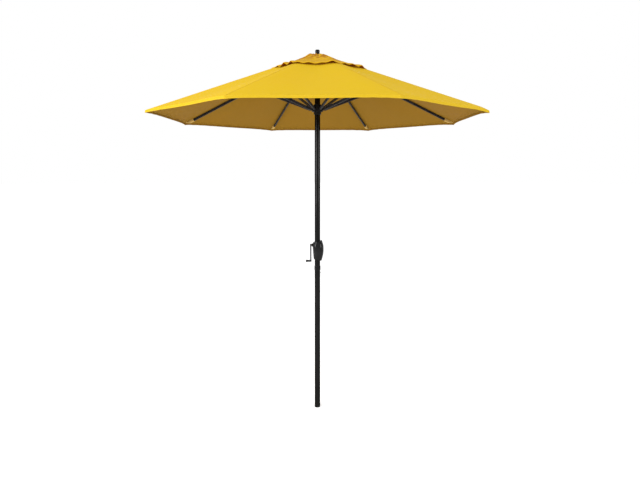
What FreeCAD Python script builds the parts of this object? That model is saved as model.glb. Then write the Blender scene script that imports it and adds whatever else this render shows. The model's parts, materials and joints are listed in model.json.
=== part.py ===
import FreeCAD, Part
import math
import os
from FreeCAD import Vector, Placement, Rotation

# Eight-rib crank-lift market umbrella, open.  Millimetres, +Z up.
# The origin is the centre of the pole's lower end, -Y is the front.
# Ribs stand at 22.5 + 45 k degrees about the pole, so a flat side of the
# octagonal canopy faces the front.

os.makedirs("parts", exist_ok=True)
doc = FreeCAD.newDocument("MarketUmbrella")

# ---------------------------------------------------------------- dimensions
sheet = doc.addObject("Spreadsheet::Sheet", "Dims")
values = [
    # pole
    ("pole_od", 38.0), ("pole_wall", 1.5), ("lower_length", 981.0),
    ("bell_start", 905.0), ("bell_od", 38.8), ("upper_start", 984.0),
    ("upper_end", 2419.0), ("insert_od", 34.6), ("insert_wall", 1.6),
    ("insert_start", 858.0), ("insert_end", 1062.0),
    ("collar_od", 43.0), ("collar_start", 954.0), ("plug_depth", 26.0),
    ("button_height", 935.0), ("button_dia", 8.0), ("button_out", 4.2),
    # linkage
    ("pivot_radius", 34.0), ("hub_pivot_z", 2425.0), ("link_length", 490.0),
    ("open_angle", 21.331), ("fold_travel", 62.0),
    # ribs and struts
    ("rib_width", 11.0), ("rib_depth", 18.0), ("rib_wall", 0.9),
    ("rib_offset", 14.8), ("rib_start", 22.0), ("rib_end", 1118.0),
    ("strut_width", 11.0), ("strut_depth", 19.0), ("strut_wall", 1.0),
    ("blade_width", 10.4), ("pin_dia", 4.0),
    # canopy
    ("canopy_radius", 1143.0), ("crest_height", 2466.3), ("cloth", 1.0),
    ("hem_lip", 17.0), ("hem_fold", 1.7),
    ("vent_radius", 240.0), ("cap_radius", 350.0),
    # hub and runner
    ("hub_od", 84.0), ("hub_slot", 12.6), ("runner_od", 76.0),
    ("runner_bore", 38.9), ("runner_slot", 11.8), ("runner_low", 2038.0),
    # crank
    ("crank_z", 1127.0), ("shaft_dia", 8.0), ("spool_core", 17.2),
    ("spool_flange", 25.0), ("spool_length", 22.0), ("crank_arm", 111.0),
    ("arm_x", -46.5), ("knob_dia", 16.5), ("knob_length", 29.0),
    ("shell", 2.6), ("arm_half", 4.4),
    # lifting cord
    ("cord_dia", 2.5), ("pulley_z", 2370.0), ("pulley_y", 18.5),
    ("pulley_groove", 3.5), ("pulley_flange", 6.6), ("pulley_width", 6.0),
]
D = {}
for row, (name, value) in enumerate(values, start=1):
    sheet.set("A%d" % row, name)
    sheet.set("B%d" % row, "%g" % value)
    sheet.setAlias("B%d" % row, name)
doc.recompute()
for name, value in values:
    D[name] = float(sheet.get(name))

T0 = math.radians(D["open_angle"])
SLOPE = math.tan(T0)
RP, ZH, L = D["pivot_radius"], D["hub_pivot_z"], D["link_length"]
BRACKET = (RP + L * math.cos(T0), ZH - L * math.sin(T0))
ZR = ZH - 2 * L * math.sin(T0)
print("bracket pivot", BRACKET, "runner pivot", ZR)

nodes = []


def keep(obj, label):
    obj.Label = label
    nodes.append(obj)
    return obj


# ------------------------------------------------------------------- helpers
def bind(obj, **what):
    for prop, text in what.items():
        obj.setExpression(prop.replace("__", "."), text)


def cyl(name, radius, height, pos=(0, 0, 0), axis="z", flip=False):
    """A cylinder whose radius and height are expressions on the sheet."""
    obj = doc.addObject("Part::Cylinder", name)
    bind(obj, Radius=radius, Height=height)
    rot = {
        "z": Rotation(),
        "x": Rotation(Vector(0, 1, 0), -90 if flip else 90),
        "y": Rotation(Vector(1, 0, 0), 90 if flip else -90),
    }[axis]
    obj.Placement = Placement(Vector(*pos), rot)
    return obj


def cut(name, base, tool):
    obj = doc.addObject("Part::Cut", name)
    obj.Base, obj.Tool = base, tool
    return obj


def fuse(name, *shapes):
    obj = doc.addObject("Part::MultiFuse", name)
    obj.Shapes = list(shapes)
    obj.Refine = True
    return obj


def feature(name, shape):
    obj = doc.addObject("Part::Feature", name)
    obj.Shape = shape
    return obj


def origin_plane(body, role):
    for item in body.Origin.OriginFeatures:
        if item.Role == role:
            return item
    raise ValueError(role)


def closed_profile(sketch, points):
    """A closed outline of straight sides, joined corner to corner."""
    n = len(points)
    for i in range(n):
        a, b = points[i], points[(i + 1) % n]
        sketch.addGeometry(
            Part.LineSegment(Vector(a[0], a[1], 0), Vector(b[0], b[1], 0)), False
        )
    import Sketcher

    for i in range(n):
        sketch.addConstraint(
            Sketcher.Constraint("Coincident", i, 2, (i + 1) % n, 1)
        )


def turned(label, points):
    """A body turned about Z from a half section of (radius, height) points."""
    body = doc.addObject("PartDesign::Body", label + "_body")
    sketch = body.newObject("Sketcher::SketchObject", label + "_section")
    sketch.AttachmentSupport = [(origin_plane(body, "XZ_Plane"), "")]
    sketch.MapMode = "FlatFace"
    closed_profile(sketch, points)
    rev = body.newObject("PartDesign::Revolution", label + "_turn")
    rev.Profile = sketch
    rev.ReferenceAxis = (sketch, ["V_Axis"])
    rev.Angle = 360.0
    body.Tip = rev
    return body, sketch, rev


def rod(r, a, b):
    a, b = Vector(*a), Vector(*b)
    return Part.makeCylinder(r, (b - a).Length, a, b - a)


def block(x0, x1, y0, y1, z0, z1):
    return Part.makeBox(x1 - x0, y1 - y0, z1 - z0, Vector(x0, y0, z0))


def rounded_block(x0, x1, y0, y1, z0, z1, radius):
    """A block whose four upright edges are rounded."""
    bar = block(x0, x1, y0, y1, z0, z1)
    return bar.makeFillet(radius, [e for e in bar.Edges if abs(e.Vertexes[0].Z - e.Vertexes[1].Z) > 1])


def turned_shape(points):
    wire = Part.makePolygon([Vector(r, 0, z) for r, z in points + points[:1]])
    return Part.Face(wire).revolve(Vector(0, 0, 0), Vector(0, 0, 1), 360)


def around(shape, degrees, point=(0, 0, 0), axis=(0, 0, 1)):
    out = shape.copy()
    out.rotate(Vector(*point), Vector(*axis), degrees)
    return out


# ---------------------------------------------------------------------- pole
ro = D["pole_od"] / 2
ri = ro - D["pole_wall"]
bell = D["bell_od"] / 2
body, sk, rev = turned(
    "lower_pole",
    [(ri, 0), (ro, 0), (ro, D["bell_start"]), (bell, D["bell_start"] + 5),
     (bell, D["lower_length"]), (ri, D["lower_length"])],
)
hole = cyl("button_hole_lower", "Dims.button_dia / 2 + 0.2", "30",
           (0, 0, D["button_height"]), "x")
keep(cut("lower_pole_drilled", body, hole), "lower_pole")

body, sk, rev = turned(
    "upper_pole",
    [(ri, D["upper_start"]), (ro, D["upper_start"]), (ro, D["upper_end"]),
     (ri, D["upper_end"])],
)
shaft_hole = cyl("shaft_hole", "6.05", "60", (-30, 0, D["crank_z"]), "x")
slot_box = doc.addObject("Part::Box", "pulley_slot")
bind(slot_box, Length="Dims.pulley_width + 1.4", Width="12", Height="17")
slot_box.Placement = Placement(
    Vector(-(D["pulley_width"] + 1.4) / 2, 12, D["pulley_z"] - 8.5), Rotation())
pin_hole = cyl("pulley_pin_hole", "1.55", "40", (-20, D["pulley_y"], D["pulley_z"]), "x")
keep(cut("upper_pole_drilled", body, fuse("upper_pole_tools", shaft_hole, slot_box, pin_hole)),
     "upper_pole")

io = D["insert_od"] / 2
ii = io - D["insert_wall"]
body, sk, rev = turned(
    "pole_insert",
    [(ii, D["insert_start"]), (io, D["insert_start"]), (io, D["insert_end"]),
     (ii, D["insert_end"])],
)
hole = cyl("button_hole_insert", "Dims.button_dia / 2 + 0.2", "30",
           (0, 0, D["button_height"]), "x")
keep(cut("pole_insert_drilled", body, hole), "pole_insert")

# plug pressed into the foot of the pole, with a chamfered rim
pr = ri - 0.05
keep(turned(
    "pole_end_cap",
    [(0, 0.6), (pr - 1.5, 0.6), (pr, 2.1), (pr, D["plug_depth"] - 1),
     (pr - 1, D["plug_depth"]), (pr - 3, D["plug_depth"]), (pr - 3, 5), (0, 5)],
)[0], "pole_end_cap")

# moulded collar that caps the bell of the lower pole
co = D["collar_od"] / 2
keep(turned(
    "joint_collar",
    [(bell + 0.1, D["collar_start"]), (co - 1.2, D["collar_start"]),
     (co, D["collar_start"] + 2), (co, D["upper_start"] - 5),
     (co - 1.5, D["upper_start"] - 0.4), (io + 0.2, D["upper_start"] - 0.4),
     (io + 0.2, D["lower_length"] + 0.1), (bell + 0.1, D["lower_length"] + 0.1)],
)[0], "joint_collar")

# snap button: a domed pin with a shoulder inside the insert
bz = D["button_height"]
br = D["button_dia"] / 2
bx = ro + D["button_out"]
button = turned_shape([(0, 0), (br + 1.6, 0), (br + 1.6, 1.6), (br, 1.6),
                       (br, bx - ii + 1.9), (br - 1.6, bx - ii + 3.0),
                       (0, bx - ii + 3.4)])
button.rotate(Vector(0, 0, 0), Vector(0, 1, 0), 90)
button.translate(Vector(ii - 3.1, 0, bz))
keep(feature("snap_button_shape", button), "snap_button")

# V-shaped leaf spring behind the button
leaf = Part.makePolygon([
    Vector(ii - 3.5, 0, bz + 8), Vector(ii - 3.5, 0, bz - 12),
    Vector(-4, 0, bz - 58), Vector(-ii + 1.2, 0, bz - 40), Vector(-ii + 1.2, 0, bz - 2),
    Vector(-ii + 2.0, 0, bz - 2), Vector(-ii + 2.0, 0, bz - 39.6),
    Vector(-3.9, 0, bz - 56.8), Vector(ii - 4.3, 0, bz - 11.8), Vector(ii - 4.3, 0, bz + 8),
    Vector(ii - 3.5, 0, bz + 8)])
spring = Part.Face(leaf).extrude(Vector(0, 8, 0))
spring.translate(Vector(0, -4, 0))
keep(feature("snap_spring_shape", spring), "snap_spring")

# ------------------------------------------------------- crank housing halves
cz = D["crank_z"]
# height, centre x, half width, half depth, centre y
sections = [
    (1012, 2.4, 24.6, 23.6, 0.0), (1020, 2.8, 26.6, 25.4, -0.4), (1034, 3.8, 30.2, 29.6, -1.2),
    (1050, 5.0, 33.2, 33.6, -2.2), (1070, 6.1, 36.0, 36.6, -3.0), (1090, 6.2, 37.6, 38.2, -3.5),
    (1108, 5.6, 38.2, 38.5, -3.5), (1125, 4.6, 37.9, 37.5, -3.0), (1142, 3.2, 34.8, 34.0, -2.0),
    (1154, 2.4, 31.6, 30.5, -1.0), (1166, 2.0, 29.0, 27.8, 0.0),
]


def oval(z, xc, a, b, yc):
    pts = []
    for i in range(24):
        t = 2 * math.pi * i / 24
        c, s = math.cos(t), math.sin(t)
        e = 2 / 2.35
        pts.append(Vector(xc + a * math.copysign(abs(c) ** e, c),
                          yc + b * math.copysign(abs(s) ** e, s), z))
    curve = Part.BSplineCurve()
    curve.interpolate(pts, PeriodicFlag=True)
    return Part.Wire([curve.toShape()])


def hull(shrink, z_low=None, z_high=None):
    wires = []
    for z, xc, a, b, yc in sections:
        wires.append(oval(z, xc, a - shrink, b - shrink, yc))
    return Part.makeLoft(wires, True, False)


def tilted_slab(low_left, low_right, high_left, high_right):
    """Everything between two slanting planes, as a prism across Y."""
    pts = [(-70, low_left - (low_right - low_left) * 0.6), (70, low_right + (low_right - low_left) * 0.6),
           (70, high_right + (high_right - high_left) * 0.6), (-70, high_left - (high_right - high_left) * 0.6)]
    wire = Part.makePolygon([Vector(x, -70, z) for x, z in pts + pts[:1]])
    return Part.Face(wire).extrude(Vector(0, 140, 0))


shell_out = hull(0.0).common(tilted_slab(1033, 1019, 1147, 1162))
shell_in = hull(D["shell"]).common(tilted_slab(1036, 1022, 1144, 1159))
shell = shell_out.cut(shell_in)
# crank boss on the left, screw bosses across the seam
boss = rod(11.5, (-29, 0, cz), (-38, 0, cz)).cut(rod(8.6, (-20, 0, cz), (-35.6, 0, cz)))
screws = [(-27.5, 1092.0), (25.0, 1134.0), (24.0, 1064.0)]
posts = [rod(4.8, (-60, y, z), (60, y, z)).common(shell_out) for y, z in screws]
pivot_post = rod(9.5, (29.6, 0, cz), (60, 0, cz)).common(shell_out)
shell = shell.fuse([boss, pivot_post] + posts)
shell = shell.cut([
    rod(ro + 0.15, (0, 0, 900), (0, 0, 1300)),
    rod(D["shaft_dia"] / 2 + 0.15, (-60, 0, cz), (37, 0, cz)),
])
for y, z in screws:
    shell = shell.cut([rod(1.55, (-16, y, z), (60, y, z)), rod(3.2, (17, y, z), (60, y, z))])
left = shell.common(block(-80, -0.08, -80, 80, 1000, 1200))
right = shell.common(block(0.08, 80, -80, 80, 1000, 1200))
keep(feature("housing_left_shape", left), "crank_housing_left")
keep(feature("housing_right_shape", right), "crank_housing_right")
screw_shapes = []
for y, z in screws:
    s = rod(1.5, (-15.5, y, z), (17.05, y, z)).fuse(rod(3.0, (17.05, y, z), (19.6, y, z)))
    s = s.cut(block(18.4, 20, y - 2.2, y + 2.2, z - 0.4, z + 0.4))
    screw_shapes.append(s.removeSplitter())
keep(feature("housing_screw_shapes", Part.makeCompound(screw_shapes)), "housing_screws")

# --------------------------------------------------------- crank and its drum
sr = D["shaft_dia"] / 2
shaft = rod(sr, (-51.0, 0, cz), (36.5, 0, cz))
keep(feature("crank_shaft_shape", shaft), "crank_shaft")
bushes = []
for side in (-1, 1):
    b = rod(6.0, (side * (ri - 2.2), 0, cz), (side * (ro + 2.5), 0, cz)).fuse(
        rod(7.6, (side * (ro + 0.7), 0, cz), (side * (ro + 2.5), 0, cz)))
    bushes.append(b.cut(rod(sr + 0.06, (side * 10, 0, cz), (side * 30, 0, cz))).removeSplitter())
keep(feature("crank_bush_shapes", Part.makeCompound(bushes)), "crank_bushes")
half = D["spool_length"] / 2
core, flange = D["spool_core"] / 2, D["spool_flange"] / 2
spool = rod(core, (-half, 0, cz), (half, 0, cz)).fuse([
    rod(flange, (-half, 0, cz), (-half + 1.4, 0, cz)),
    rod(flange, (half - 1.4, 0, cz), (half, 0, cz))])
spool = spool.cut(rod(sr + 0.02, (-30, 0, cz), (30, 0, cz)))
keep(feature("winding_spool_shape", spool.removeSplitter()), "winding_spool")
coil = rod(core + 2.6, (-half + 1.5, 0, cz), (half - 1.5, 0, cz)).cut(
    rod(core + 0.05, (-30, 0, cz), (30, 0, cz)))
keep(feature("cord_coil_shape", coil), "lift_cord_coil")
# wrap-spring brake between the pole and the right half of the housing
brake = []
for i in range(4):
    x = 22.6 + 1.62 * i
    brake.append(Part.makeTorus(5.4, 0.75, Vector(x, 0, cz), Vector(1, 0, 0)))
keep(feature("brake_spring_shape", Part.makeCompound(brake)), "brake_spring")

ax = D["arm_x"]
arm_len = D["crank_arm"]
ah = D["arm_half"]
arm = rounded_block(ax - ah, ax + ah, -5.4, 5.4, cz - arm_len, cz, 1.5)
arm = arm.fuse([rod(8.4, (ax - ah - 0.7, 0, cz), (ax + 7.6, 0, cz)),
                rod(6.6, (ax - ah - 0.7, 0, cz - arm_len), (ax + ah, 0, cz - arm_len))])
arm = arm.cut([rod(sr + 0.02, (-90, 0, cz), (0, 0, cz)),
               rod(2.52, (-90, 0, cz - arm_len), (0, 0, cz - arm_len))])
keep(feature("crank_arm_shape", arm.removeSplitter()), "crank_arm")
kz = cz - arm_len
pin = rod(2.5, (ax + ah + 1.2, 0, kz), (ax - ah - 28.5, 0, kz)).fuse(
    rod(4.0, (ax + ah + 0.1, 0, kz), (ax + ah + 1.4, 0, kz)))
pin = pin.fuse(rod(3.6, (ax - ah - 28.5, 0, kz), (ax - ah - 27.5, 0, kz)))
keep(feature("knob_pin_shape", pin.removeSplitter()), "knob_pin")
kr = D["knob_dia"] / 2
knob = turned_shape([(2.62, 0), (kr - 1.6, 0), (kr - 0.5, 1.2), (kr - 1.5, 6), (kr - 1.7, 12), (kr - 0.3, 21),
                     (kr, 25), (kr - 1.2, 28), (kr - 3.0, D["knob_length"]), (3.9, D["knob_length"]),
                     (3.9, 26.0), (2.62, 26.0)])
knob.rotate(Vector(0, 0, 0), Vector(0, 1, 0), -90)
knob.translate(Vector(ax - ah - 1.3, 0, kz))
keep(feature("crank_knob_shape", knob), "crank_knob")

# ------------------------------------------------------------------ top hub
hr = D["hub_od"] / 2
hub = turned_shape([(ro + 0.15, ZH - 37), (ro + 4.5, ZH - 37), (ro + 5.0, ZH - 20), (hr - 2, ZH - 15),
                    (hr, ZH - 12), (hr, ZH + 9), (hr - 2, ZH + 11), (21, ZH + 12), (20, ZH + 27), (0, ZH + 27),
                    (0, ZH - 4), (ro + 0.15, ZH - 4)])
slots = []
for i in range(8):
    a = 22.5 + 45 * i
    s = block(26.0, 60, -D["hub_slot"] / 2, D["hub_slot"] / 2, ZH - 60, ZH + 60)
    slots.append(around(s, a))
hub = hub.cut(slots)
pr_hole = D["pin_dia"] / 2
hub_pins, runner_pins, holes_hub, holes_run = [], [], [], []
for i in range(8):
    a = 22.5 + 45 * i
    hub_pins.append(around(rod(1.95, (RP, -10.5, ZH), (RP, 10.5, ZH)), a))
    holes_hub.append(around(rod(2.0, (RP, -10.6, ZH), (RP, 10.6, ZH)), a))
    runner_pins.append(around(rod(1.95, (RP, -10.0, ZR), (RP, 10.0, ZR)), a))
    holes_run.append(around(rod(2.0, (RP, -10.1, ZR), (RP, 10.1, ZR)), a))
hub = hub.cut(holes_hub + [rod(3.05, (0, 0, ZH - 10), (0, 0, ZH + 60))])
keep(feature("top_hub_shape", hub.removeSplitter()), "top_hub")
keep(feature("hub_pin_shapes", Part.makeCompound(hub_pins)), "hub_pins")

# finial with its stud, which clamps the vent cap on the hub
fz = ZH + 27
body, sk, rev = turned(
    "finial",
    [(0, fz - 25), (3.0, fz - 25), (3.0, fz + 3.2), (20.5, fz + 3.2), (20.5, fz + 5.2), (17.4, fz + 9.0),
     (15.6, fz + 14), (15.2, fz + 20), (15.8, fz + 27), (16.2, fz + 32), (15.4, fz + 36.0), (12.6, fz + 39.0),
     (7, fz + 40.3), (0, fz + 40.7)],
)
keep(body, "finial")

# cord pulley let into the back wall of the pole
py, pz, gw = D["pulley_y"], D["pulley_z"], D["pulley_width"] / 2
pulley = turned_shape([(1.62, -gw), (D["pulley_flange"], -gw), (D["pulley_flange"], -gw + 0.8),
                       (D["pulley_groove"], -1.4), (D["pulley_groove"], 1.4),
                       (D["pulley_flange"], gw - 0.8), (D["pulley_flange"], gw), (1.62, gw)])
pulley.rotate(Vector(0, 0, 0), Vector(0, 1, 0), 90)
pulley.translate(Vector(0, py, pz))
keep(feature("cord_pulley_shape", pulley), "cord_pulley")
keep(feature("pulley_pin_shape", rod(1.5, (-9, py, pz), (9, py, pz))), "pulley_pin")

# lifting cord: up inside the pole, over the pulley, down outside to the runner
cr = D["cord_dia"] / 2
gr = D["pulley_groove"] + cr + 0.15
y_in, y_out = py - gr, py + gr
arc = Part.makeTorus(gr, cr, Vector(0, py, pz), Vector(1, 0, 0)).common(
    block(-10, 10, py - 20, py + 20, pz, pz + 20))
rise = rod(cr, (0, y_in, cz + 9.5), (0, y_in, pz)).fuse(arc)
keep(feature("cord_rise_shape", rise.removeSplitter()), "lift_cord_rise")

# ------------------------------------------------------------------- runner
zr = ZR
rb = D["runner_bore"] / 2
rr = D["runner_od"] / 2
low = D["runner_low"]
runner = turned_shape([(rb, low), (24.0, low), (25.0, low + 1.5), (25.0, zr - 12), (rr - 1.5, zr - 10.5),
                       (rr, zr - 9), (rr, zr + 30), (rr - 1.5, zr + 31.5), (26.0, zr + 33), (25.0, zr + 40),
                       (rb, zr + 40)])
slots = []
for i in range(8):
    a = 22.5 + 45 * i
    slots.append(around(block(27.0, 60, -D["runner_slot"] / 2, D["runner_slot"] / 2, zr - 40, zr + 60), a))
runner = runner.cut(slots + holes_run)
keep(feature("runner_shape", runner.removeSplitter()), "runner")
keep(feature("runner_pin_shapes", Part.makeCompound(runner_pins)), "runner_pins")
keep(feature("cord_fall_shape", rod(cr, (0, y_out, zr + 40.2), (0, y_out, pz - 0.02))), "lift_cord_fall")

# -------------------------------------------------------------- rib assembly
# Local frame of a rib: u runs outward along it from the hub pivot, w stands
# square to it, and y runs across it.  The pins at both ends of the inner half
# lie on w = 0.
rw, rd, rt, ro_w = D["rib_width"], D["rib_depth"], D["rib_wall"], D["rib_offset"]
to_rib = Placement(Vector(RP, 0, ZH), Rotation(Vector(0, 1, 0), D["open_angle"]))


def rounded_bar(x0, x1, half_y, half_w, w0, radius):
    bar = block(x0, x1, -half_y, half_y, w0 - half_w, w0 + half_w)
    edges = [e for e in bar.Edges if abs(e.Vertexes[0].X - e.Vertexes[1].X) > 1]
    return bar.makeFillet(radius, edges)


def slab(points, half_y):
    wire = Part.makePolygon([Vector(u, -half_y, w) for u, w in points + points[:1]])
    return Part.Face(wire).extrude(Vector(0, 2 * half_y, 0))


tube = rounded_bar(D["rib_start"], D["rib_end"], rw / 2, rd / 2, ro_w, 3.4).cut(
    rounded_bar(D["rib_start"] - 5, D["rib_end"] + 5, rw / 2 - rt, rd / 2 - rt, ro_w, 2.5))
ub = L
rivet_u = [ub - 11.0]
tube = tube.cut([rod(2.03, (u, -20, ro_w), (u, 20, ro_w)) for u in rivet_u])

bw = D["blade_width"] / 2
shoe = slab([(-4.5, 0), (-3.2, -3.2), (0, -4.5), (3.2, -3.2), (D["rib_start"] - 0.1, ro_w - rd / 2 + 0.2),
             (D["rib_start"] - 0.1, ro_w + rd / 2 - 0.3), (4, ro_w + rd / 2 - 1.2), (-1, ro_w + 3), (-4.5, 5)], bw)
shoe = shoe.fuse(rod(4.6, (0, -bw, 0), (0, bw, 0)))
shoe = shoe.fuse(rounded_bar(D["rib_start"] - 0.2, D["rib_start"] + 30, rw / 2 - rt - 0.08, rd / 2 - rt - 0.08, ro_w, 2.4))
shoe = shoe.cut(rod(2.06, (0, -20, 0), (0, 20, 0)))

cheek = [(ub - 18, ro_w + 5), (ub - 18, 3.0), (ub - 6.0, -5.2), (ub, -7.0), (ub + 6.0, -5.2), (ub + 7.5, 0),
         (ub + 18, 9.5), (ub + 18, ro_w + 5)]
saddle = slab(cheek, rw / 2 + 2.3).cut(block(ub - 40, ub + 40, -rw / 2 - 0.15, rw / 2 + 0.15, -30, 40))
saddle = saddle.fuse(block(ub - 18, ub - 8.5, -rw / 2 - 1, rw / 2 + 1, 3.0, ro_w - rd / 2 - 0.15))
saddle = saddle.cut([rod(pr_hole + 0.02, (ub, -20, 0), (ub, 20, 0))]
                    + [rod(2.03, (u, -20, ro_w), (u, 20, ro_w)) for u in rivet_u])
hinge_pin = rod(1.96, (ub, -9.2, 0), (ub, 9.2, 0)).fuse(
    [rod(3.0, (ub, -9.2, 0), (ub, -7.85, 0)), rod(3.0, (ub, 7.85, 0), (ub, 9.2, 0))])
rivet = rod(2.0, (rivet_u[0], -8.9, ro_w), (rivet_u[0], 8.9, ro_w)).fuse(
    [rod(3.2, (rivet_u[0], -8.9, ro_w), (rivet_u[0], -7.85, ro_w)),
     rod(3.2, (rivet_u[0], 7.85, ro_w), (rivet_u[0], 8.9, ro_w))])
tip = rounded_bar(D["rib_end"] - 22, D["rib_end"] + 1.0, rw / 2 - rt - 0.08, rd / 2 - rt - 0.08, ro_w, 2.4)
tip = tip.fuse(slab([(D["rib_end"] + 0.05, ro_w - rd / 2 + 1), (D["rib_end"] + 7, ro_w - rd / 2 + 1.6),
                     (D["rib_end"] + 16, ro_w - 3), (D["rib_end"] + 18, ro_w + 1),
                     (D["rib_end"] + 16, ro_w + 5), (D["rib_end"] + 7, ro_w + rd / 2 - 1.6),
                     (D["rib_end"] + 0.05, ro_w + rd / 2 - 1)], rw / 2 - 0.8))

# strut, drawn along +u from the bracket pin (0, 0) to the runner pin (L, 0)
sw, sd, st = D["strut_width"], D["strut_depth"], D["strut_wall"]
strut_tube = rounded_bar(22, L - 22, sw / 2, sd / 2, 0, 3.0).cut(
    rounded_bar(10, L - 10, sw / 2 - st, sd / 2 - st, 0, 2.1))
strut = strut_tube
for end in (0, L):
    inward = 1 if end == 0 else -1
    eye = rod(4.9, (end, -bw, 0), (end, bw, 0))
    neck = slab([(end, -4.6), (end + inward * 20, -5.6), (end + inward * 34, -5.6),
                 (end + inward * 34, 5.6), (end + inward * 20, 5.6), (end, 4.6)]
                if inward > 0 else
                [(end, 4.6), (end - 20, 5.6), (end - 34, 5.6), (end - 34, -5.6), (end - 20, -5.6), (end, -4.6)],
                sw / 2 - st)
    face = slab([(end + inward * 3, -4.7), (end + inward * 22, -5.6), (end + inward * 22, 5.6),
                 (end + inward * 3, 4.7)] if inward > 0 else
                [(end - 3, 4.7), (end - 22, 5.6), (end - 22, -5.6), (end - 3, -4.7)], bw)
    strut = strut.fuse([eye, neck, face])
strut = strut.cut([rod(2.06, (0, -20, 0), (0, 20, 0)), rod(2.06, (L, -20, 0), (L, 20, 0))]).removeSplitter()

# place a strut: it runs from the bracket pin down and in to the runner pin
strut_dir = Vector(RP - BRACKET[0], 0, ZR - BRACKET[1])
strut_angle = math.degrees(math.atan2(-strut_dir.z, strut_dir.x))
to_strut = Placement(Vector(BRACKET[0], 0, BRACKET[1]), Rotation(Vector(0, 1, 0), strut_angle))

# ------------------------------------------------------------------- canopy
H0, RC, CT = D["crest_height"], D["canopy_radius"], D["cloth"]
GAP = 0.3


def roof(profile, thick, gap=GAP):
    """A ridged strip about the rib at azimuth 0.  The profile gives (radius, height) of the
    ridge, and both sides fall to the middle of the panel."""
    tops = []
    for r, z in profile:
        # a straight octagon side: at the panel's middle the radius along x is r*cos^2(22.5)
        xm = r * math.cos(math.radians(22.5)) ** 2
        ym = r * math.cos(math.radians(22.5)) * math.sin(math.radians(22.5)) - gap
        tops.append((Vector(r, 0, z), Vector(xm, ym, z), Vector(xm, -ym, z)))
    down = Vector(0, 0, -thick)
    faces = []

    def face(*pts):
        faces.append(Part.Face(Part.makePolygon(list(pts) + [pts[0]])))

    n = len(tops)
    for i in range(n - 1):
        a, al, ar = tops[i]
        b, bl, br_ = tops[i + 1]
        for m0, m1 in ((al, bl), (ar, br_)):
            face(a, b, m1)
            face(a, m1, m0)
            face(a + down, b + down, m1 + down)
            face(a + down, m1 + down, m0 + down)
            face(m0, m1, m1 + down, m0 + down)
    for a, al, ar in (tops[0], tops[-1]):
        face(a, al, al + down, a + down)
        face(a, ar, ar + down, a + down)
    shell_ = Part.makeShell(faces)
    shell_.sewShape()
    solid = Part.Solid(shell_)
    if solid.Volume < 0:
        solid.reverse()
    return solid


panel = roof([(D["vent_radius"], H0 - SLOPE * D["vent_radius"]), (RC, H0 - SLOPE * RC)], CT)
# the hem is turned down into a stiff lip along both straight edges
edge_z = H0 - SLOPE * RC
mid_x = RC * math.cos(math.radians(22.5)) ** 2
mid_y = RC * math.cos(math.radians(22.5)) * math.sin(math.radians(22.5)) - GAP
fold = D["hem_fold"]
in_x = mid_x - fold * math.cos(math.radians(22.5))
in_y = mid_y - fold * math.sin(math.radians(22.5))
lip_plan = [(RC, 0), (mid_x, mid_y), (in_x, in_y), (RC - fold / math.cos(math.radians(22.5)), 0), (in_x, -in_y),
            (mid_x, -mid_y)]
lip_wire = Part.makePolygon([Vector(x, y, edge_z - 0.4) for x, y in lip_plan + lip_plan[:1]])
panel = panel.fuse(Part.Face(lip_wire).extrude(Vector(0, 0, -D["hem_lip"] + 0.4))).removeSplitter()
cap_profile = [(8.0, fz + 1.7), (22.0, fz + 2.9), (50, 2452.5), (90, 2435.0), (133, 2416.6), (D["cap_radius"], H0 - SLOPE * D["cap_radius"] + 3.4)]

# the vent cap is one piece all the way round
cap_rings = []
for r, z in cap_profile:
    cap_rings.append([Vector(r * math.cos(math.radians(22.5 + 45 * k)), r * math.sin(math.radians(22.5 + 45 * k)), z)
                      for k in range(8)])
cap_faces = []
down = Vector(0, 0, -CT)
for i in range(len(cap_rings) - 1):
    for k in range(8):
        a, b = cap_rings[i][k], cap_rings[i][(k + 1) % 8]
        c, d = cap_rings[i + 1][(k + 1) % 8], cap_rings[i + 1][k]
        cap_faces.append(Part.Face(Part.makePolygon([a, b, c, d, a])))
        cap_faces.append(Part.Face(Part.makePolygon([p + down for p in (a, b, c, d, a)])))
for ring in (cap_rings[0], cap_rings[-1]):
    for k in range(8):
        a, b = ring[k], ring[(k + 1) % 8]
        cap_faces.append(Part.Face(Part.makePolygon([a, b, b + down, a + down, a])))
cap_shell = Part.makeShell(cap_faces)
cap_shell.sewShape()
cap = Part.Solid(cap_shell)
if cap.Volume < 0:
    cap.reverse()
keep(feature("vent_cap_shape", cap), "vent_cap")

for k in range(8):
    spin = Placement(Vector(0, 0, 0), Rotation(Vector(0, 0, 1), 22.5 + 45 * k))
    for label, shape, local in (
        ("rib_%d", tube, to_rib),
        ("rib_fittings_%d", Part.makeCompound([shoe.removeSplitter(), saddle.removeSplitter(),
                                               hinge_pin.removeSplitter(), rivet.removeSplitter(),
                                               tip.removeSplitter()]), to_rib),
        ("strut_%d", strut, to_strut),
        ("canopy_panel_%d", panel, Placement()),
    ):
        f = feature((label % (k + 1)) + "_shape", shape)
        f.Placement = spin.multiply(local)
        keep(f, label % (k + 1))

# ------------------------------------------------------------ check and write
doc.recompute()
for obj in doc.Objects:
    state = [s for s in obj.State if s in ("Invalid", "Error")]
    if state:
        raise RuntimeError("%s (%s) is %s" % (obj.Name, obj.Label, state))
names = set()
for obj in nodes:
    shape = obj.Shape
    if shape.isNull() or not shape.isValid() or not shape.Solids:
        raise RuntimeError("bad shape in " + obj.Label)
    if obj.Label in names:
        raise RuntimeError("two sub-parts named " + obj.Label)
    names.add(obj.Label)
    volume = sum(s.Volume for s in shape.Solids)
    box = shape.BoundBox
    print("%-22s %2d solids %12.1f mm3  x %.1f..%.1f y %.1f..%.1f z %.1f..%.1f" % (
        obj.Label, len(shape.Solids), volume, box.XMin, box.XMax, box.YMin, box.YMax, box.ZMin, box.ZMax))
    shape.exportStep("parts/%s.step" % obj.Label)
print(len(nodes), "nodes")
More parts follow.
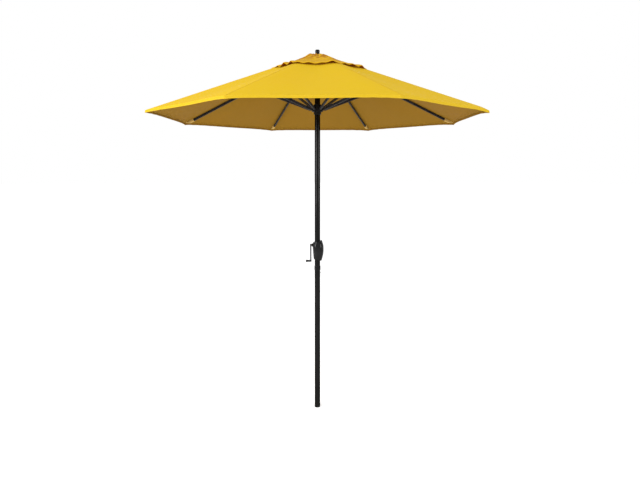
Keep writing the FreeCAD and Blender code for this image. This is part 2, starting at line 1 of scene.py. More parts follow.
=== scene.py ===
"""Market umbrella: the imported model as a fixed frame, with the cloth built round it.

Metres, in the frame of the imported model: +Z up the pole, -Y the front, the crank on -X.
"""
import json
import math

import bpy
import numpy as np
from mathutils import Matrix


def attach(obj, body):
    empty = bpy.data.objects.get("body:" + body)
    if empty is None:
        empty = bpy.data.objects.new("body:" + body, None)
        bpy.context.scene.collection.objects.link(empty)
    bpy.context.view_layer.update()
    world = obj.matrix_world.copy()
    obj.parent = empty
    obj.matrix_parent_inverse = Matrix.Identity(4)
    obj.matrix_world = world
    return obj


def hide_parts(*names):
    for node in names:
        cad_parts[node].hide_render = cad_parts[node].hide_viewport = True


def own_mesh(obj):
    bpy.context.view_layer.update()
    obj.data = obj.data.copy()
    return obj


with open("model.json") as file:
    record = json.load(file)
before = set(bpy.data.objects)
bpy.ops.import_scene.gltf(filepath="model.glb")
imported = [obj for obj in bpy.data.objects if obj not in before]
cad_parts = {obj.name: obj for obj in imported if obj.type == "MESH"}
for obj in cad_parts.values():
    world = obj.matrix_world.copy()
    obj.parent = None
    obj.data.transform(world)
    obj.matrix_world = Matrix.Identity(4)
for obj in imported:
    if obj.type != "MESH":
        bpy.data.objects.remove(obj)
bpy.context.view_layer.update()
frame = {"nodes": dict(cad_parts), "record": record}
RECORD = frame["record"]
NODES = frame["nodes"]

# ------------------------------------------------------------------ sizes
PITCH = 0.39049            # the canopy falls this much for each metre along a rib's plan
Z_TOP = 2.4663             # where the canopy's rib line would meet the axis
R_IN, R_OUT = 0.235, 1.143  # inner and outer edge of the canopy, on the rib line
CAP_OUT = 0.350            # outer edge of the vent cap, on the rib line
T22 = math.tan(math.radians(22.5))
S22 = math.sin(math.radians(22.5))
C22 = math.cos(math.radians(22.5))
HALF = S22 * C22           # half width of a panel, over r
TILT = math.atan(PITCH)
HINGE = (0.034, 2.425)     # rib hinge: distance from the axis, height
CLOTH = 0.0009


def rib_azimuth(k):
    return math.radians(22.5 + 45 * (k - 1))


def smooth(a, b, x):
    t = np.clip((np.asarray(x, float) - a) / (b - a), 0, 1)
    return t * t * (3 - 2 * t)


# -------------------------------------------------------------- materials
def new_material(name):
    m = bpy.data.materials.new(name)
    m.use_nodes = True
    m.node_tree.nodes.clear()
    out = m.node_tree.nodes.new("ShaderNodeOutputMaterial")
    bsdf = m.node_tree.nodes.new("ShaderNodeBsdfPrincipled")
    m.node_tree.links.new(bsdf.outputs[0], out.inputs[0])
    return m, m.node_tree, bsdf


class Nodes:
    """Short calls for a node tree."""

    def __init__(self, tree):
        self.t = tree

    def add(self, kind, **props):
        n = self.t.nodes.new(kind)
        for k, v in props.items():
            setattr(n, k, v)
        return n

    def link(self, a, b):
        self.t.links.new(a, b)

    def put(self, socket, value):
        if isinstance(value, bpy.types.NodeSocket):
            self.link(value, socket)
        else:
            socket.default_value = value

    def math(self, op, a, b=None, c=None, clamp=False):
        n = self.add("ShaderNodeMath", operation=op, use_clamp=clamp)
        self.put(n.inputs[0], a)
        if b is not None:
            self.put(n.inputs[1], b)
        if c is not None:
            self.put(n.inputs[2], c)
        return n.outputs[0]

    def span(self, value, a, b, lo=0.0, hi=1.0, kind="SMOOTHSTEP"):
        n = self.add("ShaderNodeMapRange", interpolation_type=kind)
        self.put(n.inputs[0], value)
        for i, v in zip((1, 2, 3, 4), (a, b, lo, hi)):
            n.inputs[i].default_value = v
        return n.outputs[0]

    def coords(self, what="Object"):
        return self.add("ShaderNodeTexCoord").outputs[what]

    def scaled(self, vector, scale, rotation=(0, 0, 0)):
        n = self.add("ShaderNodeMapping")
        self.link(vector, n.inputs[0])
        n.inputs["Scale"].default_value = scale
        n.inputs["Rotation"].default_value = rotation
        return n.outputs[0]

    def noise(self, vector, scale, detail=3.0, roughness=0.5, distortion=0.0):
        n = self.add("ShaderNodeTexNoise")
        self.link(vector, n.inputs["Vector"])
        n.inputs["Scale"].default_value = scale
        n.inputs["Detail"].default_value = detail
        n.inputs["Roughness"].default_value = roughness
        n.inputs["Distortion"].default_value = distortion
        return n.outputs["Fac"]

    def mix(self, factor, a, b, blend="MIX"):
        n = self.add("ShaderNodeMix", data_type="RGBA", blend_type=blend)
        self.put(n.inputs[0], factor)
        for s, v in ((n.inputs[6], a), (n.inputs[7], b)):
            self.put(s, (*v, 1) if isinstance(v, tuple) and len(v) == 3 else v)
        return n.outputs[2]

    def bump(self, height, strength, distance, under=None):
        n = self.add("ShaderNodeBump")
        n.inputs["Strength"].default_value = strength
        n.inputs["Distance"].default_value = distance
        self.link(height, n.inputs["Height"])
        if under is not None:
            self.link(under, n.inputs["Normal"])
        return n.outputs[0]


def canvas(name, thread, shade, thread_pitch=0.00062, stitch_rows=(), stitch_colour=None, sheen=0.02,
           painted_glow=None, painted_crease_shade=None, lip=None):
    """Woven canvas. The UV map is in metres: u along the hem, v the distance from it."""
    m, tree, bsdf = new_material(name)
    n = Nodes(tree)
    uv, obj = n.coords("UV"), n.coords("Object")
    parts = n.add("ShaderNodeSeparateXYZ")
    n.link(uv, parts.inputs[0])
    u, v = parts.outputs[0], parts.outputs[1]
    k = 2 * math.pi / (2 * thread_pitch)
    warp = n.math("SINE", n.math("MULTIPLY", u, k))
    weft = n.math("SINE", n.math("MULTIPLY", v, k))
    over = n.math("MULTIPLY", warp, weft)          # plain weave: over one, under one
    cell = n.math("MULTIPLY_ADD", over, 0.5, 0.5)
    # slubs: thicker threads along each direction
    slub_u = n.noise(n.scaled(uv, (9, 900, 1)), 1.0, 2.0)
    slub_v = n.noise(n.scaled(uv, (900, 9, 1)), 1.0, 2.0)
    slub = n.math("ADD", slub_u, slub_v)
    broad = n.noise(obj, 2.6, 4.0, 0.55)
    dust = n.noise(obj, 38.0, 3.0, 0.6)
    colour = n.mix(n.span(cell, 0.1, 0.9), shade, thread)
    colour = n.mix(n.span(slub, 0.75, 1.25, 0.0, 0.30), colour, thread, "MIX")
    warm = tuple(min(1.0, c * f) for c, f in zip(thread, (1.02, 0.93, 0.80)))
    colour = n.mix(n.span(broad, 0.35, 0.70, 0.0, 0.35), colour, warm)
    faded = tuple(min(1.0, c * 0.97 + 0.012) for c in thread)
    colour = n.mix(n.span(dust, 0.50, 0.75, 0.0, 0.25), colour, faded)
    # painted shade: the turned-down lip at the hem's edge is darkened towards the lip colour, in place of the shade it
    # falls in
    if lip is not None:
        colour = n.mix(n.span(v, 0.0150, 0.0178, 0.85, 0.0), colour, lip)
    if painted_crease_shade is not None:
        # painted shade: dark streaks that radiate from the finial, darker where the cloth folds in, standing in for the
        # shade in the folds
        place = n.add("ShaderNodeSeparateXYZ")
        n.link(obj, place.inputs[0])
        flat = n.add("ShaderNodeCombineXYZ")
        n.link(place.outputs[0], flat.inputs[0])
        n.link(place.outputs[1], flat.inputs[1])
        ray = n.add("ShaderNodeVectorMath", operation="NORMALIZE")
        n.link(flat.outputs[0], ray.inputs[0])
        far = n.add("ShaderNodeVectorMath", operation="LENGTH")
        n.link(flat.outputs[0], far.inputs[0])
        reach = far.outputs["Value"]
        turned = n.add("ShaderNodeCombineXYZ")
        sides = n.add("ShaderNodeSeparateXYZ")
        n.link(ray.outputs[0], sides.inputs[0])
        n.link(sides.outputs[0], turned.inputs[0])
        n.link(sides.outputs[1], turned.inputs[1])
        n.link(n.math("MULTIPLY", reach, 3.0), turned.inputs[2])
        fold_shade_streak = n.noise(turned.outputs[0], 4.6, 3.0, 0.55, 0.5)
        near_top = n.span(reach, 0.10, 0.26, 1.0, 0.12)
        colour = n.mix(n.math("MULTIPLY", n.span(fold_shade_streak, 0.44, 0.56), n.math("MULTIPLY", near_top, 0.80)),
                       colour, painted_crease_shade)
    height = n.math("MULTIPLY_ADD", slub, 0.35, cell)
    rough = n.span(dust, 0.3, 0.7, 0.78, 0.90)
    if stitch_rows:
        rows = None
        for row in stitch_rows:
            near = n.span(n.math("ABSOLUTE", n.math("SUBTRACT", v, row)), 0.00030, 0.00075, 1.0, 0.0)
            rows = near if rows is None else n.math("MAXIMUM", rows, near)
        dash = n.math("SINE", n.math("MULTIPLY", u, 2 * math.pi / 0.0042))
        dash = n.span(dash, -0.55, -0.15)
        stitch = n.math("MULTIPLY", rows, dash)
        hole_dent_and_shade = n.math("MULTIPLY", rows, n.math("SUBTRACT", 1.0, dash))
        colour = n.mix(stitch, colour, stitch_colour or tuple(min(1.0, c * 1.08) for c in thread))
        # painted shade: the needle holes between the stitches are darkened, as well as dented by the bump below
        colour = n.mix(n.math("MULTIPLY", hole_dent_and_shade, 0.8), colour, tuple(c * 0.35 for c in shade))
        height = n.math("ADD", height, n.math("MULTIPLY", stitch, 2.2))
        height = n.math("SUBTRACT", height, n.math("MULTIPLY", hole_dent_and_shade, 2.0))
    n.link(colour, bsdf.inputs["Base Color"])
    n.link(rough, bsdf.inputs["Roughness"])
    bsdf.inputs["Specular IOR Level"].default_value = 0.06
    bsdf.inputs["Sheen Weight"].default_value = sheen
    bsdf.inputs["Sheen Roughness"].default_value = 0.45
    bsdf.inputs["Sheen Tint"].default_value = (1.0, 0.85, 0.45, 1)
    # painted light: a faint emission stands in for light shining through the cloth
    if painted_glow is not None:
        bsdf.inputs["Emission Color"].default_value = (*painted_glow, 1)
        bsdf.inputs["Emission Strength"].default_value = 1.0
    fine = n.bump(height, 0.35, 0.00022)
    wide = n.bump(n.noise(obj, 9.0, 3.0, 0.5), 0.10, 0.004, fine)
    n.link(wide, bsdf.inputs["Normal"])
    return m


def hard(name, colour, rough, grain=900.0, grain_depth=0.00004, metallic=0.0, specular=0.5, coat=0.0,
         coat_rough=0.05, drawn=None, wear=None, vary=0.12, rough_vary=0.06, grain_strength=0.3, rim=1.0):
    """Moulded, painted or plated surface: fine grain, uneven gloss, faint handling marks and rubbed edges."""
    m, tree, bsdf = new_material(name)
    n = Nodes(tree)
    obj = n.coords("Object")
    broad = n.noise(obj, 11.0, 4.0, 0.6)
    fine = n.noise(obj, grain, 2.0, 0.6)
    smear = n.noise(n.scaled(obj, (60, 60, 9)), 1.0, 3.0, 0.65, 0.6)
    light = tuple(min(1.0, c * (1 + vary) + 0.0015) for c in colour)
    dark = tuple(c * (1 - vary) for c in colour)
    base = n.mix(n.span(broad, 0.3, 0.7), dark, light)
    if drawn:
        lines = n.noise(n.scaled(obj, drawn), 1.0, 2.0, 0.5)
        base = n.mix(n.span(lines, 0.35, 0.65, 0.0, 0.35), base, light)
    if wear:
        edge = n.add("ShaderNodeNewGeometry").outputs["Pointiness"]
        chips = n.noise(obj, 240.0, 3.0, 0.6)
        mask = n.math("MULTIPLY", n.span(edge, 0.53, 0.60), n.span(chips, 0.45, 0.62))
        base = n.mix(n.math("MULTIPLY", mask, 0.55), base, wear)
    n.link(base, bsdf.inputs["Base Color"])
    r = n.math("ADD", n.span(smear, 0.3, 0.7, rough - rough_vary, rough + rough_vary, "LINEAR"),
               n.span(fine, 0.3, 0.7, -0.015, 0.015, "LINEAR"), clamp=True)
    n.link(r, bsdf.inputs["Roughness"])
    bsdf.inputs["Metallic"].default_value = metallic
    bsdf.inputs["Specular IOR Level"].default_value = specular
    bsdf.inputs["Specular Tint"].default_value = (rim, rim, rim, 1)
    bsdf.inputs["Coat Weight"].default_value = coat
    bsdf.inputs["Coat Roughness"].default_value = coat_rough
    under = n.bump(fine, grain_strength, grain_depth)
    if drawn:
        under = n.bump(lines, 0.25, 0.00005, under)
    n.link(under, bsdf.inputs["Normal"])
    return m


def braided(name, colour, fleck, pitch=0.0011):
    """Braided cord, in the object's own coordinates."""
    m, tree, bsdf = new_material(name)
    n = Nodes(tree)
    obj = n.coords("Object")
    parts = n.add("ShaderNodeSeparateXYZ")
    n.link(obj, parts.inputs[0])
    k = 2 * math.pi / pitch
    a = n.math("SINE", n.math("MULTIPLY", n.math("ADD", parts.outputs[2], parts.outputs[0]), k))
    b = n.math("SINE", n.math("MULTIPLY", n.math("SUBTRACT", parts.outputs[2], parts.outputs[0]), k))
    lay = n.math("MULTIPLY_ADD", n.math("MULTIPLY", a, b), 0.5, 0.5)
    fuzz = n.noise(obj, 1500.0, 2.0)
    base = n.mix(n.span(lay, 0.2, 0.8), tuple(c * 0.5 for c in colour), colour)
    base = n.mix(n.span(fuzz, 0.62, 0.75, 0.0, 0.5), base, fleck)
    n.link(base, bsdf.inputs["Base Color"])
    n.link(n.span(fuzz, 0.3, 0.7, 0.75, 0.92), bsdf.inputs["Roughness"])
    bsdf.inputs["Sheen Weight"].default_value = 0.2
    n.link(n.bump(lay, 0.5, 0.0002), bsdf.inputs["Normal"])
    return m


YELLOW, YELLOW_SHADE = (0.622, 0.412, 0.0080), (0.560, 0.363, 0.0048)
# painted shade: the underside is the same cloth as the top, given a darker, browner colour in place of the shade under
# the canopy
UNDERSIDE_SHADED, UNDERSIDE_SHADED_DARK_THREAD = (0.235, 0.122, 0.0100), (0.195, 0.098, 0.0075)
HEM_ROWS = (0.0042, 0.0136, 0.0235)
MAT = {
    "top": canvas("canvas_top", YELLOW, YELLOW_SHADE, stitch_rows=HEM_ROWS, stitch_colour=(0.74, 0.52, 0.05),
                  # painted shade: the lip colour darkens the turned-down hem
                  lip=(0.455, 0.298, 0.0120)),
    "under": canvas("canvas_underside_painted_shade", UNDERSIDE_SHADED, UNDERSIDE_SHADED_DARK_THREAD, stitch_rows=HEM_ROWS, stitch_colour=(0.42, 0.24, 0.04),
                    sheen=0.0),
    "cap": canvas("canvas_vent_cap", (0.595, 0.355, 0.0086), (0.520, 0.285, 0.0056), stitch_rows=(0.0045, 0.0165),
                  # painted shade: the crease colour darkens the crown in radial streaks
                  stitch_colour=(0.80, 0.54, 0.05), painted_crease_shade=(0.300, 0.085, 0.001)),
    # painted shade and painted light: the cap's underside is the same cloth as its top, darker and redder in place of
    # the shade under it, with a faint glow for light through the cloth
    "cap_underside_painted": canvas("canvas_vent_cap_underside_painted_shade_glow", (0.305, 0.098, 0.004), (0.230, 0.066, 0.003),
                        stitch_rows=(0.0045, 0.0165), stitch_colour=(0.40, 0.14, 0.01), sheen=0.0,
                        painted_glow=(0.096, 0.021, 0.0005)),
    "seam": canvas("canvas_seam", (0.580, 0.365, 0.0092), (0.500, 0.305, 0.0060), stitch_rows=(0.0018, 0.0102),
                   stitch_colour=(0.82, 0.56, 0.05)),
    "pocket": canvas("canvas_rib_pocket", (0.480, 0.320, 0.100), (0.380, 0.240, 0.070), stitch_rows=(0.004,),
                     stitch_colour=(0.58, 0.42, 0.16)),
    "binding": canvas("tape_binding", (0.380, 0.160, 0.010), (0.290, 0.110, 0.006), thread_pitch=0.0005,
                      stitch_rows=(0.004,), stitch_colour=(0.50, 0.28, 0.03)),
}
SLOT_MAT = {
    "pole_bronze": hard("powder_coat_dark_bronze", (0.0122, 0.0120, 0.0119), 0.20, grain=1300, grain_depth=0.00003,
                        metallic=1.0, drawn=(900, 900, 3), vary=0.10, rough_vary=0.03,
                        grain_strength=0.08, rim=0.12),
    "bare_aluminium": hard("mill_aluminium", (0.58, 0.58, 0.59), 0.34, metallic=1.0, drawn=(1200, 1200, 4),
                           grain_depth=0.00002),
    "black_plastic": hard("moulded_black_plastic", (0.0034, 0.0034, 0.0036), 0.40, grain=1100,
                          grain_depth=0.00008, specular=0.10, grain_strength=0.30, wear=(0.03, 0.03, 0.03)),
    "gloss_black_plastic": hard("gloss_black_plastic", (0.0016, 0.0016, 0.0018), 0.17, grain=160,
                                grain_depth=0.00002, specular=0.19, coat=0.0, coat_rough=0.08,
                                rough_vary=0.04, grain_strength=0.10),
    "black_enamel": hard("black_enamel", (0.0030, 0.0030, 0.0034), 0.30, grain=420, grain_depth=0.00004,
                         specular=0.08, wear=(0.12, 0.11, 0.10), grain_strength=0.15),
    "rib_enamel": hard("rib_powder_coat", (0.0042, 0.0041, 0.0041), 0.36, grain=1500, grain_depth=0.00005,
                       specular=0.060, wear=(0.10, 0.09, 0.09), grain_strength=0.15),
    "zinc_steel": hard("zinc_plated_steel", (0.50, 0.50, 0.49), 0.30, metallic=1.0, grain=300,
                       grain_depth=0.00003, vary=0.10),
    "nylon": hard("natural_nylon", (0.66, 0.64, 0.58), 0.42, grain=700, grain_depth=0.00005, specular=0.45,
                  vary=0.05),
    "cord": braided("braided_cord", (0.045, 0.045, 0.050), (0.12, 0.12, 0.12)),
}
slot_of = {s["node"]: s["material_slot"] for s in RECORD["subparts"]}
for node, obj in NODES.items():
    m = SLOT_MAT.get(slot_of.get(node), MAT["under"])
    obj.data.materials.clear()
    obj.data.materials.append(m)


# ------------------------------------------------------------- mesh tools
def shell(name, top, bottom, uv_top, mats, side_mat=0, closed_u=False):
    """A closed double-layered sheet from two grids of points (rows, columns, 3).
    mats are the materials of the top, the underside and the edges."""
    rows, cols, _ = top.shape
    verts = np.vstack([top.reshape(-1, 3), bottom.reshape(-1, 3)])
    N = rows * cols

    def vid(i, j, layer):
        return layer * N + i * cols + j

    faces, uvs, mi, sharp = [], [], [], set()
    for i in range(rows - 1):
        for j in range(cols - 1):
            a, b, c, d = vid(i, j, 0), vid(i + 1, j, 0), vid(i + 1, j + 1, 0), vid(i, j + 1, 0)
            faces.append((a, b, c, d))
            side = 1 if j >= (cols - 1) // 2 else 0
            quad = [uv_top[i, j, side], uv_top[i + 1, j, side], uv_top[i + 1, j + 1, side], uv_top[i, j + 1, side]]
            uvs.append(quad)
            mi.append(0)
            faces.append((a + N, d + N, c + N, b + N))
            uvs.append([quad[0], quad[3], quad[2], quad[1]])
            mi.append(1)
    border = (
        [(i, 0, i + 1, 0, True) for i in range(rows - 1)]
        + [(i, cols - 1, i + 1, cols - 1, False) for i in range(rows - 1)]
        + [(0, j, 0, j + 1, False) for j in range(cols - 1)]
        + [(rows - 1, j, rows - 1, j + 1, True) for j in range(cols - 1)]
    )
    for i0, j0, i1, j1, flip in border:
        a, b = vid(i0, j0, 0), vid(i1, j1, 0)
        f = (a, a + N, b + N, b) if flip else (a, b, b + N, a + N)
        faces.append(f)
        s = 1 if min(j0, j1) >= (cols - 1) // 2 else 0
        p, q = uv_top[i0, j0, s], uv_top[i1, j1, s]
        quad = {a: p, a + N: (p[0], p[1] - 0.001), b: q, b + N: (q[0], q[1] - 0.001)}
        uvs.append([quad[x] for x in f])
        mi.append(side_mat)
        sharp.add((min(a, b), max(a, b)))
        sharp.add((min(a + N, b + N), max(a + N, b + N)))
    me = bpy.data.meshes.new(name)
    me.from_pydata([tuple(p) for p in verts], [], faces)
    me.validate()
    me.polygons.foreach_set("use_smooth", [True] * len(me.polygons))
    me.polygons.foreach_set("material_index", mi)
    layer = me.uv_layers.new(name="UVMap")
    layer.data.foreach_set("uv", np.array([c for q in uvs for c in q], np.float32).ravel())
    me.update()
    flags = [tuple(sorted(e.vertices)) in sharp for e in me.edges]
    att = me.attributes.new("sharp_edge", "BOOLEAN", "EDGE")
    att.data.foreach_set("value", flags)
    for m in mats:
        me.materials.append(m)
    o = bpy.data.objects.new(name, me)
    bpy.context.scene.collection.objects.link(o)
    return o


def turn(points, k):
    a = rib_azimuth(k)
    c, s = math.cos(a), math.sin(a)
    p = np.asarray(points, float)
    return np.stack([p[..., 0] * c - p[..., 1] * s, p[..., 0] * s + p[..., 1] * c, p[..., 2]], -1)


# ------------------------------------------------------------ main canopy
ROUND = 0.018   # the cloth turns over the rib this softly


def sag(r):
    s = np.clip((r - R_IN) / (R_OUT - R_IN), 0, 1)
    return 0.0105 * np.sin(np.pi * s) ** 0.9 + 0.0022


BOW = 0.0185    # the hem curves in this far between two ribs
DROOP = {8: 0.0065, 1: 0.0030, 7: 0.0025, 2: 0.0015, 6: 0.0015}


def bowed(r, t):
    """Distance along the rib line once the free edge is drawn in between the ribs."""
    a = np.abs(t)
    return r - BOW * a * (2 - a) * smooth(0.62, R_OUT, r)


def canopy_top(r, t, k):
    """Top of the cloth at r along the rib line and t from -1 to 1 across, in the rib's own plane."""
    y = t * r * HALF
    x = r - np.abs(y) * T22
    z = Z_TOP + 0.0006 - PITCH * r
    lift = PITCH * T22 * (np.abs(y) + ROUND - np.sqrt(y * y + ROUND * ROUND))
    full = PITCH * T22 * ROUND
    z = z + lift - (sag(r) + full) * (1 - np.cos(np.pi * t)) / 2
    # faint tension folds that run from each corner, and slack near the vent
    a = rib_azimuth(k)
    X = x * math.cos(a) - y * math.sin(a)
    Y = x * math.sin(a) + y * math.cos(a)
    phi = np.arctan2(Y, X)
    corner = np.exp(-(((r - R_OUT) / 0.16) ** 2)) * np.abs(np.sin(np.pi * t)) * np.exp(-((np.abs(t) / 0.45) ** 2))
    z = z + 0.0016 * corner * np.sin(np.abs(y) * 95 + 1.1 * k)
    z = z + 0.0009 * np.sin(24 * phi + 7.0 * r) * np.sin(np.pi * np.abs(t)) * smooth(0.28, 0.6, r) * (1 - smooth(0.95, 1.12, r))
    z = z + 0.0011 * np.sin(np.pi * np.abs(t)) * np.sin(16 * r + 3 * np.cos(phi)) * smooth(0.3, 0.5, r) * (1 - smooth(0.9, 1.1, r))
    z = z - DROOP.get(k, 0.0) * smooth(1.093, 1.143, r) * np.exp(-((t / 0.20) ** 2))
    return np.stack([x, y, z], -1)


hem = np.array([1.1140, 1.1160, 1.1172, 1.1190, 1.1203, 1.1216, 1.1240, 1.1280, 1.1325, 1.1365, 1.1395, 1.1415])
BEND = 0.0022
EDGE_TILT = math.atan(PITCH / C22)
bend_at = np.linspace(EDGE_TILT, math.radians(86), 7)[1:]
drop_at = np.array([0.0030, 0.0050, 0.0075, 0.0100, 0.0120, 0.0130, 0.0140, 0.0150, 0.0158, 0.0163, 0.0166, 0.0168])
RS = np.concatenate([np.linspace(R_IN, 1.107, 46), hem])
flat_rows = len(RS)
bend_out = BEND * (np.sin(bend_at) - math.sin(EDGE_TILT)) / C22
bend_down = BEND * (math.cos(EDGE_TILT) - np.cos(bend_at))
lip_out = bend_out[-1] + (drop_at - 0.0020) * 0.03
ROW_R = np.concatenate([RS, RS[-1] + bend_out, RS[-1] + lip_out])
ROW_Z = np.concatenate([RS, np.full(len(bend_out) + len(lip_out), RS[-1])])
ROW_DROP = np.concatenate([np.zeros(flat_rows), bend_down, bend_down[-1] + drop_at - 0.0020])
ROW_LEAN = np.concatenate([np.full(flat_rows, EDGE_TILT), bend_at, np.full(len(drop_at), math.radians(88))])
ROW_RUN = np.concatenate([(RS[-1] - RS) * C22 / math.cos(EDGE_TILT), -BEND * (bend_at - EDGE_TILT),
                          -BEND * (bend_at[-1] - EDGE_TILT) - (drop_at - 0.0020)])
ROW_RUN = ROW_RUN - ROW_RUN[-1]
TS = np.concatenate([-np.array([1, 0.94, 0.87, 0.79, 0.70, 0.60, 0.50, 0.40, 0.31, 0.23, 0.16, 0.11, 0.07, 0.042, 0.02]), [0.0]])
TS = np.concatenate([TS, -TS[-2::-1]])


def hem_top(r):
    """The doubled hem stands a little proud, with a groove at its inner stitching."""
    proud = 0.0007 * smooth(1.1165, 1.1185, r)
    groove = -0.0008 * np.exp(-(((r - 1.1206) / 0.0010) ** 2))
    groove2 = -0.0003 * np.exp(-(((r - 1.1371) / 0.0010) ** 2))
    return proud + groove + groove2


def lip_wave(k, t, drop):
    """The free edge of the lip is not quite straight."""
    a = rib_azimuth(k) + t * math.radians(22.5)
    return (drop / 0.017) * (0.0009 * np.sin(13 * a + 0.7) + 0.0006 * np.sin(31 * a)) * (1 - smooth(0.86, 1.0, np.abs(t)) * 0.6)


ROW_THICK = (CLOTH + 0.0019 * smooth(1.1165, 1.1190, ROW_Z) - 0.0009 * smooth(0.0, 0.004, ROW_DROP)
             - 0.0011 * smooth(0.0160, 0.0168, ROW_DROP))


sheets = []
for k in range(1, 9):
    R, T = np.meshgrid(ROW_R, TS, indexing="ij")
    lean, drop, thick = ROW_LEAN[:, None], ROW_DROP[:, None], ROW_THICK[:, None]
    base = canopy_top(bowed(ROW_Z[:, None], T), T, k)
    wave = lip_wave(k, T, drop)
    out = bowed(ROW_Z[:, None], T) + (ROW_R - ROW_Z)[:, None] + wave
    top = base.copy()
    top[..., 1] = T * out * HALF
    top[..., 0] = out - np.abs(top[..., 1]) * T22
    top[..., 2] += hem_top(ROW_Z)[:, None] - drop
    low = top.copy()
    inward = out - thick * np.sin(lean) / C22
    low[..., 1] = T * inward * HALF
    low[..., 0] = inward - np.abs(low[..., 1]) * T22
    low[..., 2] -= thick * np.cos(lean)
    y = top[..., 1]
    along = S22 * R - np.abs(y) / C22
    away = np.broadcast_to(ROW_RUN[:, None], R.shape)
    uv = np.stack([np.stack([-along, away], -1), np.stack([along, away], -1)], 2)
    o = shell(f"canopy_{k}", turn(top, k), turn(low, k), uv, [MAT["top"], MAT["under"]], side_mat=0)
    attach(o, f"rib_{k}")
    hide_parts(f"canopy_panel_{k}")
    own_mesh(o)

    # felled seam over the rib, where two gores are sewn together
    rs = np.concatenate([[R_IN - 0.001], np.linspace(R_IN + 0.004, 1.1365, 96), [1.1395]])
    ys = np.array([-0.0060, -0.0056, -0.0046, -0.0036, -0.0018, 0.0, 0.0018, 0.0036, 0.0046, 0.0056, 0.0060])
    high = np.array([-0.0002, 0.00055, 0.00072, 0.00050, 0.00085, 0.00088, 0.00085, 0.00050, 0.00072, 0.00055, -0.0002])
    Rg, Yg = np.meshgrid(rs, ys, indexing="ij")
    Tg = Yg / (Rg * HALF)
    st = canopy_top(Rg, Tg, k)
    st[..., 2] += hem_top(Rg) + high[None, :] * smooth(R_IN - 0.001, R_IN + 0.004, Rg) * (1 - smooth(1.1365, 1.1396, Rg)) + 0.0001
    sb = st.copy()
    sb[..., 2] = canopy_top(Rg, Tg, k)[..., 2] + hem_top(Rg) - 0.0003
    suv = np.stack([(Rg - R_IN) * 1.0735, Yg + 0.006], -1)
    suv = np.stack([suv, suv], 2)
    seam = shell(f"seam_{k}", turn(st, k), turn(sb, k), suv, [MAT["seam"], MAT["seam"]])
    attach(seam, f"rib_{k}")
    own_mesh(seam)

    # binding tape round the inner edge, at the vent
    bt = np.linspace(-1, 1, 25)
    bs = np.array([0.0, 0.18, 0.35, 0.5, 0.65, 0.82, 1.0])
    Tb, Sb = np.meshgrid(bt, bs, indexing="ij")
    rb = np.where(Sb < 0.5, R_IN + 0.011 - 0.0245 * Sb, R_IN + 0.011 - 0.0245 * (1 - Sb))
    bp = canopy_top(np.maximum(rb, R_IN), Tb, k)
    bp[..., 0] += np.minimum(rb - R_IN, 0)
    bp[..., 2] += np.where(Sb < 0.5, 0.0006, -CLOTH - 0.0007) * smooth(0, 0.22, np.abs(Sb - 0.5)) - 0.0004 * (1 - smooth(0, 0.22, np.abs(Sb - 0.5)))
    inner = bp.copy()
    inner[..., 2] += np.where(Sb < 0.5, -0.0005, 0.0005)
    inner[..., 0] += 0.0005 * (1 - smooth(0, 0.2, np.abs(Sb - 0.5)))
    buv = np.stack([Tb * R_IN * S22, Sb * 0.022], -1)
    buv = np.stack([buv, buv], 2)
    tape = shell(f"vent_tape_{k}", turn(bp, k), turn(inner, k), buv, [MAT["binding"], MAT["binding"]])
    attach(tape, f"rib_{k}")
    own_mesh(tape)

    # pocket that holds the rib's tip in the corner of the canopy
    us = np.array([1.088, 1.0886, 1.094, 1.104, 1.116, 1.128, 1.138, 1.147, 1.155, 1.162, 1.168, 1.172])
    low_w = np.array([0.0030, 0.0024, 0.0030, 0.0034, 0.0040, 0.0050, 0.0072, 0.0112, 0.0158, 0.0195, 0.0222, 0.0232])
    wide = np.array([0.0098, 0.0102, 0.0099, 0.0096, 0.0092, 0.0090, 0.0086, 0.0084, 0.0090, 0.0098, 0.0106, 0.0108])
    angles = np.linspace(0, math.pi, 21)
    grid, grid_in, puv = [], [], []
    for u0, w0, h0 in zip(us, low_w, wide):
        row, row_in, row_uv = [], [], []
        run = 0.0
        for ai, a0 in enumerate(angles):
            c, s = math.cos(a0), math.sin(a0)
            yy = -h0 * math.copysign(abs(c) ** 0.55, c)
            ww = 0.0243 - (0.0243 - w0) * s ** 0.55
            wav = 0.0004 * math.sin(9 * a0 + 60 * u0 * 3)
            row.append((yy * (1 + 0.03 * math.sin(170 * u0)), u0, ww - wav))
            shrink = 0.0009
            row_in.append((yy - math.copysign(shrink, yy) * abs(c) ** 0.5, u0, min(ww + shrink * s ** 0.5, 0.0244)))
            row_uv.append((u0, a0 * 0.012))
        grid.append(row)
        grid_in.append(row_in)
        puv.append(row_uv)

    def place(g):
        g = np.array(g)
        yy, uu, ww = g[..., 0], g[..., 1], g[..., 2]
        xx = HINGE[0] + uu * math.cos(TILT) + ww * math.sin(TILT)
        zz = HINGE[1] - uu * math.sin(TILT) + ww * math.cos(TILT)
        return np.stack([xx, yy, zz - DROOP.get(k, 0.0) * smooth(1.093, 1.143, xx)], -1)

    puv = np.array(puv)
    puv = np.stack([puv, puv], 2)
    pocket = shell(f"rib_pocket_{k}", turn(place(grid_in), k), turn(place(grid), k), puv, [MAT["pocket"], MAT["pocket"]])
    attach(pocket, f"rib_{k}")
    sheets.append((o, [seam, tape, pocket]))

# --------------------------------------------------------------- vent cap
CAP_R = np.array([0.010, 0.016, 0.022, 0.035, 0.050, 0.070, 0.090, 0.133, 0.200, 0.270, 0.350])
CAP_Z = np.array([2.4539, 2.4549, 2.4552, 2.4546, 2.4522, 2.4452, 2.4362, 2.4180, 2.3920, 2.3647, 2.3336])


